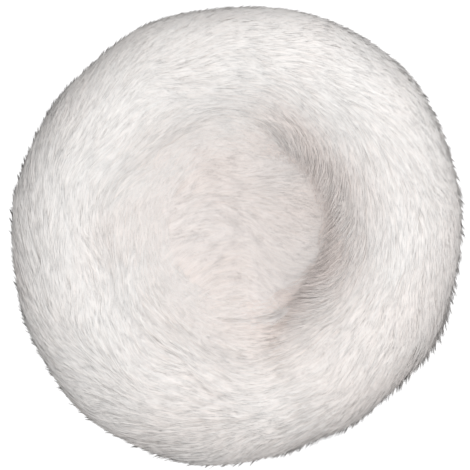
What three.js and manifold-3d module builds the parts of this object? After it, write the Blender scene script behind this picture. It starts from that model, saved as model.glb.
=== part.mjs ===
// Round cat bed of long plush: a fat filled ring sewn round a domed cushion, on a non-slip base cloth.
// Millimetres, +Z up. Seen from above +X is right and +Y is up, and the origin is on the floor below
// the middle of the outline. Each piece of cloth and each filling is a solid of its own.

import * as THREE from 'three';
import { mergeVertices } from 'three/addons/utils/BufferGeometryUtils.js';
import Module from 'manifold-3d';

const wasm = await Module();
wasm.setup();

// Outline and height of the whole bed, measured over the laid pile
const bedDiameter = 500;
const bedHeight = 170;
const ovalSwell = 7; // the hand-filled outline stands out this far along its long axis, and in across it
const ovalAngle = THREE.MathUtils.degToRad(55);
const squareSwell = 2; // and this far at four blunt corners
const squareAngle = THREE.MathUtils.degToRad(-36);

// The well: the round nest inside the ring, a little off the middle of the outline
const nestDiameter = 214; // clear width between the ring's inner bulges
const wellShiftX = 7;
const wellShiftY = 11;
const seamSetback = 19; // the well seam is tucked this far back under the bulge
const gatherDepth = 2.5; // ripple of the strip where its inner edge is gathered to the seam
const gatherCount = 14;

// The ring's section
const bulgeRise = 36; // the ring is widest this far above the cushion's edge
const hemInset = 42; // the base seam lies this far in from the outline
const crestPower = 2.2; // 2 is a round crest, more is a squarer one
const innerPower = 1.2; // nearer 1 is a gentler slope from the bulge up to the crest
const outerPower = 2.3; // how late the outer wall turns in to its hem
const closingSeamAngle = THREE.MathUtils.degToRad(-66); // where the strip's two ends are joined
const pinchDepth = 4; // the closing seam draws the filled ring in
const pinchWidth = 24;

// The cushion that fills the well
const cushionEdgeHeight = 56; // height of its edge, where it meets the ring's wall
const cushionCrown = 24; // rise of its middle over that edge
const crownPower = 0.6; // under 1 the crown is drawn down at its edge

// Cloth: the plush is its backing and the pile laid on it
const ringPlushThickness = 14;
const cushionPlushThickness = 12;
const seamThickness = 4; // plush crushed flat in a seam
const panelThickness = 2;
const flangeLength = 10; // seam allowance of the base cloth, turned up inside the ring
const clearance = 0.3;
const flangeClearance = 0.5;

// The base cloth's printed grip dots, and the groove that the well seam's stitches pull into it
const gripHeight = 0.8;
const gripDiameter = 8;
const gripPitch = 34;
const gripSides = 6;
const gripMargin = 4;
const gripSink = 0.5;
const grooveWidth = 5;
const grooveDepth = 1;

// Facets: a section every 360 / sectorCount degrees, four of them to a gather
const sectorCount = 4 * gatherCount;
const wallSteps = 2;
const crestSteps = 6;
const outerSteps = 4;
const innerCrestSteps = 4;
const crownScaleShares = [1, 0.93, 0.8, 0.6, 0.32, 0];
const underScaleShares = [1, 0.85, 0.5, 0];
const probeShare = 0.01;
const flangeShare = 0.5; // how far down the outer wall the plush's back has its last corner

// Levels that the pieces are stacked on
const panelTop = gripHeight + panelThickness;
const clothLevel = panelTop + clearance;
const bulgeHeight = cushionEdgeHeight + bulgeRise;
const edgeShare = (cushionEdgeHeight - clothLevel) / (bulgeHeight - clothLevel);

// Angles of the sections, the first on the closing seam
const azimuths = Array.from(
  { length: sectorCount },
  (_, index) => closingSeamAngle + (index * 2 * Math.PI) / sectorCount,
);

// A place in the upright half-plane at an azimuth: reach from the bed's axis, and height
const place = (reach, height) => new THREE.Vector2(reach, height);

function inSpace(azimuth, spot) {
  return new THREE.Vector3(spot.x * Math.cos(azimuth), spot.x * Math.sin(azimuth), spot.y);
}

// Outline of the bed: a circle with a two-sided and a four-sided swell
function outlineReach(azimuth) {
  const oval = ovalSwell * Math.cos(2 * (azimuth - ovalAngle));
  const square = squareSwell * Math.cos(4 * (azimuth - squareAngle));
  return bedDiameter / 2 + oval + square;
}

// How far from the bed's axis a ray meets a circle drawn round the well's centre
function wellReach(azimuth, radius) {
  const along = wellShiftX * Math.cos(azimuth) + wellShiftY * Math.sin(azimuth);
  const across = wellShiftX * Math.sin(azimuth) - wellShiftY * Math.cos(azimuth);
  return along + Math.sqrt(radius * radius - across * across);
}

function wellSeamReach(azimuth) {
  return wellReach(azimuth, nestDiameter / 2) + seamSetback;
}

// The closing seam pulls the ring in along one section, fading like a bell curve to either side
function pinch(azimuth) {
  const turn = Math.atan2(Math.sin(azimuth - closingSeamAngle), Math.cos(azimuth - closingSeamAngle));
  const away = (turn * outlineReach(azimuth)) / pinchWidth;
  return pinchDepth * Math.exp(-away * away);
}

// Ring's face towards the nest: from the seam it leans in over the cushion, up to the bulge
function nestWallReach(azimuth, height) {
  const down = (bulgeHeight - height) / (bulgeHeight - clothLevel);
  const gather = gatherDepth * down * Math.cos(gatherCount * (azimuth - closingSeamAngle));
  const bulge = wellReach(azimuth, nestDiameter / 2) + pinch(azimuth) * (1 - down);
  return bulge + seamSetback * down * down + gather;
}

// Outer face of the ring's plush in three stages, each travelled by a share of it: up the nest wall,
// over the crest on a superellipse, and down the outer wall to the hem.
function nestWallFace(azimuth, share) {
  const height = THREE.MathUtils.lerp(clothLevel, bulgeHeight, share);
  return place(nestWallReach(azimuth, height), height);
}

function crestFace(azimuth, share) {
  const inner = nestWallReach(azimuth, bulgeHeight);
  const half = (outlineReach(azimuth) - pinch(azimuth) - inner) / 2;
  const rise = bedHeight - pinch(azimuth) - bulgeHeight;
  const angle = Math.PI * share;
  const sideways = Math.sign(Math.cos(angle)) * Math.abs(Math.cos(angle)) ** (2 / crestPower);
  const upwards = Math.abs(Math.sin(angle)) ** (2 / (share < 0.5 ? innerPower : crestPower));
  return place(inner + half * (1 - sideways), bulgeHeight + rise * upwards);
}

function outerWallFace(azimuth, share) {
  const outer = outlineReach(azimuth) - pinch(azimuth);
  return place(outer - hemInset * share ** outerPower, THREE.MathUtils.lerp(bulgeHeight, gripHeight, share));
}

// A travel counts the stages that lie behind, plus the share of the one under way
const faceStages = [nestWallFace, crestFace, outerWallFace];
const [seamTravel, crestTravel, outerWallTravel] = faceStages.keys();
const hemTravel = faceStages.length;

function ringFace(azimuth, travel) {
  const stage = Math.min(Math.floor(travel), outerWallTravel);
  return faceStages[stage](azimuth, travel - stage);
}

// The same face moved into the ring, square to itself; at its two ends it is moved level
function ringInset(azimuth, travel, inset) {
  const spot = ringFace(azimuth, travel);
  if (travel === seamTravel) return place(spot.x + inset, spot.y);
  if (travel === hemTravel) return place(spot.x - inset, spot.y);
  const along = ringFace(azimuth, travel + probeShare).sub(ringFace(azimuth, travel - probeShare));
  const inward = place(along.y, -along.x).normalize();
  return spot.addScaledVector(inward, inset);
}

// Travels at which the plush's two faces are divided. The nest wall has a point at the cushion's edge.
const steps = (from, to, count) => Array.from({ length: count }, (_, n) => from + ((n + 1) * (to - from)) / count);
const outerTravels = [
  seamTravel,
  ...steps(seamTravel, edgeShare, wallSteps),
  crestTravel,
  ...steps(crestTravel, outerWallTravel, crestSteps),
  ...steps(outerWallTravel, hemTravel, outerSteps),
];
const innerTravels = [crestTravel, ...steps(crestTravel, outerWallTravel, innerCrestSteps)];
const flangeTravel = outerWallTravel + flangeShare;

// Ring cover: one plush strip, open along its underside between the well seam and the hem
function ringCoverSection(azimuth) {
  const face = outerTravels.map((travel) => ringFace(azimuth, travel));
  const back = [...innerTravels, flangeTravel].map((travel) => ringInset(azimuth, travel, ringPlushThickness));
  const seamEnd = ringInset(azimuth, seamTravel, seamThickness);
  const hemEnd = ringInset(azimuth, hemTravel, seamThickness);
  return [...face, hemEnd, ...back.reverse(), seamEnd];
}

// The base cloth's rim: its foot beside the hem, and the way its turned-up allowance runs there
function rimOf(azimuth) {
  const hemEnd = ringInset(azimuth, hemTravel, seamThickness);
  const wall = ringInset(azimuth, flangeTravel, ringPlushThickness);
  const along = wall.clone().sub(hemEnd).normalize();
  const inward = place(-along.y, along.x);
  const foot = place(hemEnd.x - flangeClearance, gripHeight);
  return { foot, along, inward };
}

// The point at a height on the line that runs beside the turned-up allowance, moved in by an inset
function besideRim(rim, inset, height) {
  const start = rim.foot.clone().addScaledVector(rim.inward, inset);
  return start.addScaledVector(rim.along, (height - start.y) / rim.along.y);
}

// Ring filling: the space in the plush, flat on the base cloth, and clear of the turned-up allowance
function ringFillingSection(azimuth) {
  const seamEnd = ringInset(azimuth, seamTravel, seamThickness + clearance);
  const back = innerTravels.map((travel) => ringInset(azimuth, travel, ringPlushThickness + clearance));
  const rim = rimOf(azimuth);
  const wall = ringInset(azimuth, flangeTravel, ringPlushThickness);
  const inset = panelThickness + clearance;
  return [seamEnd, ...back, besideRim(rim, inset, wall.y), besideRim(rim, inset, clothLevel)];
}

// Face of the cushion at an azimuth, moved in by an inset: up its side against the ring's wall,
// then over a crown of height (1 - scale^2)^crownPower to the well's centre.
function cushionFace(azimuth, inset, scaleShares) {
  const centre = new THREE.Vector3(wellShiftX, wellShiftY, 0);
  const shrink = 1 - (inset + clearance) / (nestDiameter / 2);
  const edge = cushionEdgeHeight - inset / 2;
  const top = cushionEdgeHeight + cushionCrown - inset;
  const wallAt = (height, scale, lift) => {
    const wall = inSpace(azimuth, place(nestWallReach(azimuth, height), 0)).sub(centre);
    return wall.multiplyScalar(scale).add(centre).setZ(lift);
  };
  const side = steps(0, edgeShare, wallSteps)
    .slice(0, -1)
    .map((share) => THREE.MathUtils.lerp(clothLevel, bulgeHeight, share))
    .filter((height) => height < edge)
    .map((height) => wallAt(height, shrink, height));
  const crown = scaleShares.map((scale) =>
    wallAt(cushionEdgeHeight, shrink * scale, edge + (top - edge) * (1 - scale * scale) ** crownPower),
  );
  return [...side, ...crown];
}

// Foot of the cushion's plush in the well seam, moved in from the ring's wall
function cushionFoot(azimuth, inset) {
  const reach = nestWallReach(azimuth, clothLevel) - clearance - inset;
  return inSpace(azimuth, place(reach, clothLevel));
}

function cushionCoverSection(azimuth) {
  const face = cushionFace(azimuth, 0, crownScaleShares).reverse();
  const back = cushionFace(azimuth, cushionPlushThickness, underScaleShares);
  return [...face, cushionFoot(azimuth, 0), cushionFoot(azimuth, seamThickness), ...back];
}

function cushionFillingSection(azimuth) {
  const face = cushionFace(azimuth, cushionPlushThickness + clearance, underScaleShares).reverse();
  const floorCentre = new THREE.Vector3(wellShiftX, wellShiftY, clothLevel);
  return [...face, cushionFoot(azimuth, seamThickness + clearance), floorCentre];
}

// Base cloth: a disc with its allowance turned up at the rim and the stitch groove on its underside
function basePanelSection(azimuth) {
  const rim = rimOf(azimuth);
  const tip = rim.foot.clone().addScaledVector(rim.along, flangeLength);
  const tipBack = tip.clone().addScaledVector(rim.inward, panelThickness);
  const corner = besideRim(rim, panelThickness, panelTop);
  const seam = wellSeamReach(azimuth);
  const upper = [place(0, panelTop), corner, tipBack, tip, rim.foot];
  const lower = [
    place(seam + grooveWidth / 2, gripHeight),
    place(seam, gripHeight + grooveDepth),
    place(seam - grooveWidth / 2, gripHeight),
    place(0, gripHeight),
  ];
  return [...upper, ...lower].map((spot) => inSpace(azimuth, spot));
}

// Skin through one section per azimuth. A looped section closes on itself, as in a ring; an open one
// starts and ends on a point that all sections share, as on a disc. Every four-sided patch is divided
// from its lower corner to the next section's higher one, so that faces that lie together match.
function loft(sectionAt, looped) {
  const sections = azimuths.map(sectionAt);
  const count = sections[0].length;
  const spans = looped ? count : count - 1;
  const indices = [];
  sections.forEach((section, turn) => {
    const here = turn * count;
    const next = ((turn + 1) % sectorCount) * count;
    for (let span = 0; span < spans; span += 1) {
      const after = (span + 1) % count;
      if (!looped && span === 0) {
        indices.push(here + span, here + after, next + after);
      } else if (!looped && span === spans - 1) {
        indices.push(here + span, here + after, next + span);
      } else if (section[after].z > section[span].z) {
        indices.push(here + span, next + after, next + span);
        indices.push(here + span, here + after, next + after);
      } else {
        indices.push(here + span, here + after, next + span);
        indices.push(here + after, next + after, next + span);
      }
    }
  });
  const positions = sections.flatMap((section) => section.flatMap((point) => point.toArray()));
  const geometry = new THREE.BufferGeometry();
  geometry.setAttribute('position', new THREE.Float32BufferAttribute(positions, 3));
  geometry.setIndex(indices);
  return geometry;
}

const loopLoft = (sectionAt) => loft((azimuth) => sectionAt(azimuth).map((spot) => inSpace(azimuth, spot)), true);
const discLoft = (sectionAt) => loft(sectionAt, false);

// Solid with shared corners, ready to be joined to another
function solidOf(geometry) {
  const bare = geometry.clone();
  bare.deleteAttribute('normal');
  bare.deleteAttribute('uv');
  const merged = mergeVertices(bare);
  const vertProperties = new Float32Array(merged.attributes.position.array);
  const triVerts = new Uint32Array(merged.index.array);
  return new wasm.Manifold(new wasm.Mesh({ numProp: 3, vertProperties, triVerts }));
}

function geometryOf(solid) {
  const mesh = solid.getMesh();
  const geometry = new THREE.BufferGeometry();
  geometry.setAttribute('position', new THREE.BufferAttribute(new Float32Array(mesh.vertProperties), 3));
  geometry.setIndex(new THREE.BufferAttribute(new Uint32Array(mesh.triVerts), 1));
  return geometry;
}

// A grip dot fits if it lies whole on the cloth and clear of the stitch groove
function dotFits(x, y) {
  const azimuth = Math.atan2(y, x);
  const reach = Math.hypot(x, y);
  const rimReach = rimOf(azimuth).foot.x - gripMargin - gripDiameter / 2;
  const grooveGap = Math.abs(reach - wellSeamReach(azimuth)) - grooveWidth / 2 - gripDiameter / 2;
  return reach < rimReach && grooveGap > 0;
}

// Places of the dots: rows a pitch apart, every second row moved by half a pitch
function gripPlaces() {
  const rowPitch = gripPitch * Math.sin(Math.PI / 3);
  const rows = Math.ceil(bedDiameter / 2 / rowPitch);
  const columns = Math.ceil(bedDiameter / 2 / gripPitch);
  const places = [];
  for (let row = -rows; row <= rows; row += 1) {
    const shift = row % 2 === 0 ? 0 : gripPitch / 2;
    for (let column = -columns; column <= columns; column += 1) {
      const x = column * gripPitch + shift;
      const y = row * rowPitch;
      if (dotFits(x, y)) places.push([x, y]);
    }
  }
  return places;
}

function basePanelGeometry() {
  const height = gripHeight + gripSink;
  const dot = new THREE.CylinderGeometry(gripDiameter / 2, gripDiameter / 2, height, gripSides);
  dot.rotateX(Math.PI / 2);
  dot.translate(0, 0, height / 2);
  const panel = solidOf(discLoft(basePanelSection));
  const dots = gripPlaces().map(([x, y]) => solidOf(dot.clone().translate(x, y, 0)));
  return geometryOf(dots.reduce((joined, next) => joined.add(next), panel));
}

const plush = { color: 0xf0ebe8, roughness: 0.95, metalness: 0 };
const wadding = { color: 0xf7f6f2, roughness: 1, metalness: 0 };
const baseCloth = { color: 0xc9c5c0, roughness: 0.9, metalness: 0 };

function piece(name, geometry, look) {
  geometry.computeVertexNormals();
  const mesh = new THREE.Mesh(geometry, new THREE.MeshStandardMaterial({ ...look, flatShading: true }));
  mesh.name = name;
  return mesh;
}

const ring = new THREE.Group();
ring.add(piece('ring_cover', loopLoft(ringCoverSection), plush));
ring.add(piece('ring_filling', loopLoft(ringFillingSection), wadding));

const cushion = new THREE.Group();
cushion.add(piece('cushion_cover', discLoft(cushionCoverSection), plush));
cushion.add(piece('cushion_filling', discLoft(cushionFillingSection), wadding));

const bed = new THREE.Group();
bed.add(ring, cushion, piece('base_panel', basePanelGeometry(), baseCloth));

export default bed;
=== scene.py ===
# Round cat bed of long plush: cloth skins, the pile on them, the base cloth and its stitches.
# Metres, +Z up. Seen from above +X is to the right and +Y is up, as in the CAD frame.

import math

import bpy
import numpy as np
from mathutils import Matrix, Vector


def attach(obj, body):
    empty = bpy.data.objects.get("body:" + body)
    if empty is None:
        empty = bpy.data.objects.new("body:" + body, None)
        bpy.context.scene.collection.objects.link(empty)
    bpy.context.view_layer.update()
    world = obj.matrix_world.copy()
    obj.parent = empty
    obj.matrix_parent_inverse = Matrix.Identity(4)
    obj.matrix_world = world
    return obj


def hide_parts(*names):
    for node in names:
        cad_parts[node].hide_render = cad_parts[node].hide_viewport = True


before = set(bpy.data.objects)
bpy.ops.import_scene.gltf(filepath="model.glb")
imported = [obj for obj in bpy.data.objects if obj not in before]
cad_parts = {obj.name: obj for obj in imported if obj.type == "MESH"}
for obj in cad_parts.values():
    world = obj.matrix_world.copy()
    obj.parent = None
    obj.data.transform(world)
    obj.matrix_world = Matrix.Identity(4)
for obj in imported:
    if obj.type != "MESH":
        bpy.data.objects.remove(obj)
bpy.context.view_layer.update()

# Lengths of the bed, the same as in the CAD, measured over the laid pile
bed = {
    "across": 0.500,
    "height": 0.170,
    "ovalSwell": 0.007,
    "ovalAngle": math.radians(55),
    "squareSwell": 0.002,
    "squareAngle": math.radians(-36),
    "nestAcross": 0.214,
    "wellX": 0.007,
    "wellY": 0.011,
    "seamSetback": 0.019,
    "gatherDepth": 0.0025,
    "gatherCount": 14,
    "clothLevel": 0.0031,
    "bulgeLevel": 0.092,
    "hemInset": 0.042,
    "hemLevel": 0.0008,
    "crestPower": 2.2,
    "innerPower": 1.2,
    "outerPower": 2.3,
    "closingAngle": math.radians(-66),
    "pinchDepth": 0.004,
    "pinchWidth": 0.024,
    "cushionEdge": 0.056,
    "cushionTop": 0.080,
    "crownPower": 0.6,
}

wholeTurn = 2 * math.pi
skyward = np.array([0.0, 0.0, 1.0])


# Shares and curves

def rampUp(value, start, length):
    # 0 up to the start, then rising evenly to 1 over the length
    return np.clip((value - start) / length, 0, 1)


def rampDown(value, end, length):
    # 1 until the length before the end, then falling evenly to 0
    return np.clip((end - value) / length, 0, 1)


def bell(distance, width):
    return np.exp(-(distance / width) ** 2)


def facing(turn, degrees):
    # 1 where the turn points that way, down to 0 a quarter turn from it
    return np.clip(np.cos(turn - math.radians(degrees)), 0, 1)


def unit(vectors):
    return vectors / np.maximum(np.linalg.norm(vectors, axis=-1, keepdims=True), 1e-12)


# The bed's surfaces, each a function of the turn round the axis and of one more parameter

def outlineReach(turn):
    # half the width, plus a swell cos 2(turn - a) and a smaller one cos 4(turn - b)
    oval = bed["ovalSwell"] * np.cos(2 * (turn - bed["ovalAngle"]))
    square = bed["squareSwell"] * np.cos(4 * (turn - bed["squareAngle"]))
    return bed["across"] / 2 + oval + square


def wellReach(turn, radius):
    # where a ray from the axis meets a circle about the well's centre
    along = bed["wellX"] * np.cos(turn) + bed["wellY"] * np.sin(turn)
    across = bed["wellX"] * np.sin(turn) - bed["wellY"] * np.cos(turn)
    return along + np.sqrt(radius ** 2 - across ** 2)


def closingDistance(turn):
    # length of arc from the closing seam, with its sign
    away = turn - bed["closingAngle"]
    return np.arctan2(np.sin(away), np.cos(away)) * outlineReach(turn)


def pinch(turn):
    # the closing seam draws the ring in
    return bed["pinchDepth"] * bell(closingDistance(turn), bed["pinchWidth"])


def nestWallReach(turn, height):
    # the well's circle at the bulge, set back with the square of the depth below it, and gathered
    down = (bed["bulgeLevel"] - height) / (bed["bulgeLevel"] - bed["clothLevel"])
    gather = bed["gatherDepth"] * down * np.cos(bed["gatherCount"] * (turn - bed["closingAngle"]))
    wall = wellReach(turn, bed["nestAcross"] / 2) + pinch(turn) * (1 - down)
    return wall + bed["seamSetback"] * down ** 2 + gather


def ringPoint(turn, travel):
    # travel 0 to 1 climbs the nest wall, 1 to 2 goes over the crest on a superellipse whose power
    # is lower on the way up, so the ring opens out from the nest in a gentle slope,
    # 2 to 3 comes down the outer wall, drawn in by a power of the way down
    inner = nestWallReach(turn, bed["bulgeLevel"])
    outer = outlineReach(turn) - pinch(turn)
    wallHeight = bed["clothLevel"] + (bed["bulgeLevel"] - bed["clothLevel"]) * np.clip(travel, 0, 1)
    angle = math.pi * np.clip(travel - 1, 0, 1)
    sideways = np.sign(np.cos(angle)) * np.abs(np.cos(angle)) ** (2 / bed["crestPower"])
    climb = np.where(angle < math.pi / 2, bed["innerPower"], bed["crestPower"])
    upwards = np.abs(np.sin(angle)) ** (2 / climb)
    rise = bed["height"] - pinch(turn) - bed["bulgeLevel"]
    down = np.clip(travel - 2, 0, 1)
    crestReach = inner + (outer - inner) / 2 * (1 - sideways)
    crestHeight = bed["bulgeLevel"] + rise * upwards
    outerReach = outer - bed["hemInset"] * down ** bed["outerPower"]
    outerHeight = bed["bulgeLevel"] + (bed["hemLevel"] - bed["bulgeLevel"]) * down
    onWall = travel <= 1
    onCrest = travel <= 2
    reach = np.where(onWall, nestWallReach(turn, wallHeight), np.where(onCrest, crestReach, outerReach))
    height = np.where(onWall, wallHeight, np.where(onCrest, crestHeight, outerHeight))
    return np.stack([reach * np.cos(turn), reach * np.sin(turn), height], axis=-1)


def fromWell(x, y):
    # the place as seen from the well's centre
    return x - bed["wellX"], y - bed["wellY"]


def drawnIn(x, y, share):
    # the place at a share of its way out from the well's centre
    outX, outY = fromWell(x, y)
    return bed["wellX"] + outX * share, bed["wellY"] + outY * share


def cushionEdgeAt(heading):
    # distance from the well's centre to the wall at the cushion's edge, along a heading,
    # with the turn of that place about the bed's axis; three rounds of the same step settle it
    reach = np.full_like(heading, bed["nestAcross"] / 2)
    for _ in range(3):
        turn = np.arctan2(bed["wellY"] + reach * np.sin(heading), bed["wellX"] + reach * np.cos(heading))
        wall = nestWallReach(turn, bed["cushionEdge"])
        reach = np.hypot(*fromWell(wall * np.cos(turn), wall * np.sin(turn)))
    return reach, turn


def cushionScale(x, y):
    # 0 at the well's centre and 1 at the wall, along the ray through the point
    outX, outY = fromWell(x, y)
    edge, turn = cushionEdgeAt(np.arctan2(outY, outX))
    return np.hypot(outX, outY) / edge


def cushionHeight(x, y):
    # edge plus crown times (1 - scale squared) to a power under 1, so the crown drops late
    scale = np.clip(cushionScale(x, y), 0, 1)
    crown = (bed["cushionTop"] - bed["cushionEdge"]) * (1 - scale ** 2) ** bed["crownPower"]
    return bed["cushionEdge"] + crown


wellFill = {
    "bowlRise": 0.0442,
    "bowlPower": 1.8,
    "bowlEnd": 1.27,
    "openRise": 0.008,
    "openReach": 0.7,
    "openHeading": math.radians(4),
    "openHalf": math.radians(38),
    "closing": math.radians(50),
    "leastClosed": 0.1,
}


def closedShare(x, y):
    # least where the joint between cushion and ring lies open, at the right, and 1 where the pile
    # covers it, with a smooth step between them
    outX, outY = fromWell(x, y)
    heading = np.arctan2(outY, outX) - wellFill["openHeading"]
    away = np.abs(np.arctan2(np.sin(heading), np.cos(heading)))
    closed = rampUp(away, wellFill["openHalf"], wellFill["closing"])
    least = wellFill["leastClosed"]
    return least + (1 - least) * closed * closed * (3 - 2 * closed)


def pileFloor(x, y):
    # top of the pile in the well: a bowl that rises with a power of the scale and runs into the
    # ring's slope, turning at the right into the bare cushion, which lifts with the square of the
    # way to the wall and leaves the joint open
    scale = cushionScale(x, y)
    near = np.clip((np.clip(scale, 0, 1) - 1 + wellFill["openReach"]) / wellFill["openReach"], 0, 1)
    bare = cushionHeight(x, y) + wellFill["openRise"] * near ** 2
    rise = np.clip(scale, 0, wellFill["bowlEnd"]) ** wellFill["bowlPower"]
    bowl = bed["cushionTop"] + wellFill["bowlRise"] * rise
    return bare + (bowl - bare) * closedShare(x, y)


def floorNormal(x, y):
    # straight up, tilted against the slope of the pile's floor, which is measured over 2 mm
    step = 0.001
    slopeX = (pileFloor(x + step, y) - pileFloor(x - step, y)) / (2 * step)
    slopeY = (pileFloor(x, y + step) - pileFloor(x, y - step)) / (2 * step)
    return unit(np.stack([-slopeX, -slopeY, np.ones_like(slopeX)], axis=-1))


# Tools for all pieces

def smoothNoise(points, size, seed):
    # eight sine waves in random directions, about that size from crest to crest, roughly -1 to 1
    draw = np.random.default_rng(seed)
    heading = unit(draw.normal(size=(8, 3)))
    pace = wholeTurn / size * draw.uniform(0.6, 1.5, 8)
    phase = draw.uniform(0, wholeTurn, 8)
    waves = np.sin(points @ (heading * pace[:, None]).T + phase)
    return waves.sum(axis=-1) / 3


def onGrid(grid, across, along):
    # value between the grid's points from the four round it; across runs round and round
    rows, columns = grid.shape[:2]
    a = (across % 1) * rows
    b = np.clip(along, 0, 1) * (columns - 1)
    row = np.minimum(a.astype(int), rows - 1)
    column = np.minimum(b.astype(int), columns - 2)
    fa = (a - row)[..., None]
    fb = (b - column)[..., None]
    after = (row + 1) % rows
    near = grid[row, column] * (1 - fb) + grid[row, column + 1] * fb
    far = grid[after, column] * (1 - fb) + grid[after, column + 1] * fb
    return near * (1 - fa) + far * fa


def nearer(best, chosen, gap, index):
    # keeps the index of the smallest gap so far
    closer = gap < best
    return np.where(closer, gap, best), np.where(closer, index, chosen)


def newPiece(name, corners, faces, material, smooth=True):
    # faces is an array of triangles or of four-sided faces
    mesh = bpy.data.meshes.new(name)
    sides = faces.shape[1]
    mesh.vertices.add(len(corners))
    mesh.vertices.foreach_set("co", np.ascontiguousarray(corners, dtype=np.float32).ravel())
    mesh.loops.add(faces.size)
    mesh.loops.foreach_set("vertex_index", np.ascontiguousarray(faces, dtype=np.int32).ravel())
    mesh.polygons.add(len(faces))
    mesh.polygons.foreach_set("loop_start", np.arange(0, faces.size, sides, dtype=np.int32))
    mesh.polygons.foreach_set("use_smooth", np.full(len(faces), smooth))
    mesh.materials.append(material)
    mesh.update(calc_edges=True)
    mesh.validate()
    piece = bpy.data.objects.new(name, mesh)
    bpy.context.scene.collection.objects.link(piece)
    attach(piece, "root")
    return piece


def pointValue(piece, name, values):
    layer = piece.data.attributes.new(name, "FLOAT", "POINT")
    layer.data.foreach_set("value", np.ascontiguousarray(values, dtype=np.float32).ravel())


def loopedFaces(rows, columns, closed):
    # four-sided faces of a grid whose rows close round; its columns close too if asked. They face
    # up where the rows go round counter-clockwise and the columns outwards
    row = np.arange(rows)[:, None]
    column = np.arange(columns if closed else columns - 1)[None, :]
    nextRow = (row + 1) % rows
    nextColumn = (column + 1) % columns
    corners = [row * columns + column, row * columns + nextColumn,
               nextRow * columns + nextColumn, nextRow * columns + column]
    return np.stack([c + 0 * (row + column) for c in corners], axis=-1).reshape(-1, 4)


def cappedFaces(rows, columns):
    # triangles of such a grid with a pole at each end, which follow the grid's own points
    quads = loopedFaces(rows, columns, False)
    start = np.arange(rows) * columns
    after = np.roll(start, -1)
    end = columns - 1
    firstFan = np.stack([start, after, np.full(rows, rows * columns)], axis=-1)
    lastFan = np.stack([after + end, start + end, np.full(rows, rows * columns + 1)], axis=-1)
    return np.concatenate([quads[:, [0, 1, 2]], quads[:, [0, 2, 3]], firstFan, lastFan])


def repeatedFaces(faces, cornersEach, copies):
    # the same faces for each of many copies, whose corners follow one another
    return (faces[None] + (np.arange(copies) * cornersEach)[:, None, None]).reshape(-1, faces.shape[1])


# Shader tools and groups

def newMaterial(name):
    material = bpy.data.materials.new(name)
    material.use_nodes = True
    return material, material.node_tree, material.node_tree.nodes["Principled BSDF"]


def newGroup(name, inputs, outputs):
    tree = bpy.data.node_groups.new(name, "ShaderNodeTree")
    for label, kind, value in inputs:
        socket = tree.interface.new_socket(label, in_out="INPUT", socket_type=kind)
        socket.default_value = value
    for label, kind in outputs:
        tree.interface.new_socket(label, in_out="OUTPUT", socket_type=kind)
    return tree, tree.nodes.new("NodeGroupInput"), tree.nodes.new("NodeGroupOutput")


def feed(tree, socket, value):
    # a number or a colour is set on the socket, and another node's output is linked to it
    if isinstance(value, (int, float, tuple)):
        socket.default_value = value
    else:
        tree.links.new(value, socket)


def mathNode(tree, operation, first, second):
    node = tree.nodes.new("ShaderNodeMath")
    node.operation = operation
    feed(tree, node.inputs[0], first)
    feed(tree, node.inputs[1], second)
    return node.outputs[0]


def mixColour(tree, factor, first, second, blend="MIX"):
    node = tree.nodes.new("ShaderNodeMix")
    node.data_type = "RGBA"
    node.blend_type = blend
    feed(tree, node.inputs["Factor"], factor)
    feed(tree, node.inputs[6], first)
    feed(tree, node.inputs[7], second)
    return node.outputs[2]


def attributeNode(tree, name):
    node = tree.nodes.new("ShaderNodeAttribute")
    node.attribute_name = name
    return node.outputs["Fac"]


def noiseNode(tree, place, scale, detail):
    node = tree.nodes.new("ShaderNodeTexNoise")
    node.inputs["Scale"].default_value = scale
    node.inputs["Detail"].default_value = detail
    tree.links.new(place, node.inputs["Vector"])
    return node.outputs["Fac"]


def addBump(tree, shader, height, strength, distance):
    bump = tree.nodes.new("ShaderNodeBump")
    bump.inputs["Strength"].default_value = strength
    bump.inputs["Distance"].default_value = distance
    tree.links.new(height, bump.inputs["Height"])
    tree.links.new(bump.outputs["Normal"], shader.inputs["Normal"])


def makePileColour():
    # colour of a strand: its root colour, darker and warmer, turns to its tip colour over the lower
    # part, the darker root partly painted shade deep in the pile; each strand is a little lighter or
    # darker, and warmer or cooler, than the next, partly at random and partly as painted shade
    white = (1, 1, 1, 1)
    tree, given, result = newGroup(
        "pileColour",
        [("Root", "NodeSocketColor", white), ("Tip", "NodeSocketColor", white),
         ("Warm", "NodeSocketColor", white), ("Spread", "NodeSocketFloat", 0.1)],
        [("Color", "NodeSocketColor")],
    )
    rise = mathNode(tree, "POWER", attributeNode(tree, "along"), 0.8)
    strand = mixColour(tree, rise, given.outputs["Root"], given.outputs["Tip"])
    warmed = mixColour(tree, attributeNode(tree, "warmth"), strand, given.outputs["Warm"], "MULTIPLY")
    dim = mathNode(tree, "MULTIPLY", attributeNode(tree, "shade"), given.outputs["Spread"])
    level = mathNode(tree, "SUBTRACT", 1.0, dim)
    grey = tree.nodes.new("ShaderNodeCombineColor")
    for socket in grey.inputs:
        tree.links.new(level, socket)
    tree.links.new(mixColour(tree, 1.0, warmed, grey.outputs[0], "MULTIPLY"), result.inputs["Color"])
    return tree


pileColour = makePileColour()


def pileMaterial(name, look):
    material, tree, shader = newMaterial(name)
    shader.inputs["Roughness"].default_value = look["roughness"]
    shader.inputs["Specular IOR Level"].default_value = look["specular"]
    group = tree.nodes.new("ShaderNodeGroup")
    group.node_tree = pileColour
    for label in ("Root", "Tip", "Warm", "Spread"):
        group.inputs[label].default_value = look[label.lower()]
    tree.links.new(group.outputs["Color"], shader.inputs["Base Color"])
    return material


# Ring: its face as a grid of even steps, with the soft lumps of a hand-filled tube

ringShape = {
    "turns": 1080,
    "steps": 361,
    "lump": 0.0022,
    "lumpSize": 0.16,
    "skinEvery": 6,
    "skinInset": 0.0017,
    "skinFill": 0.75,
}

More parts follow.
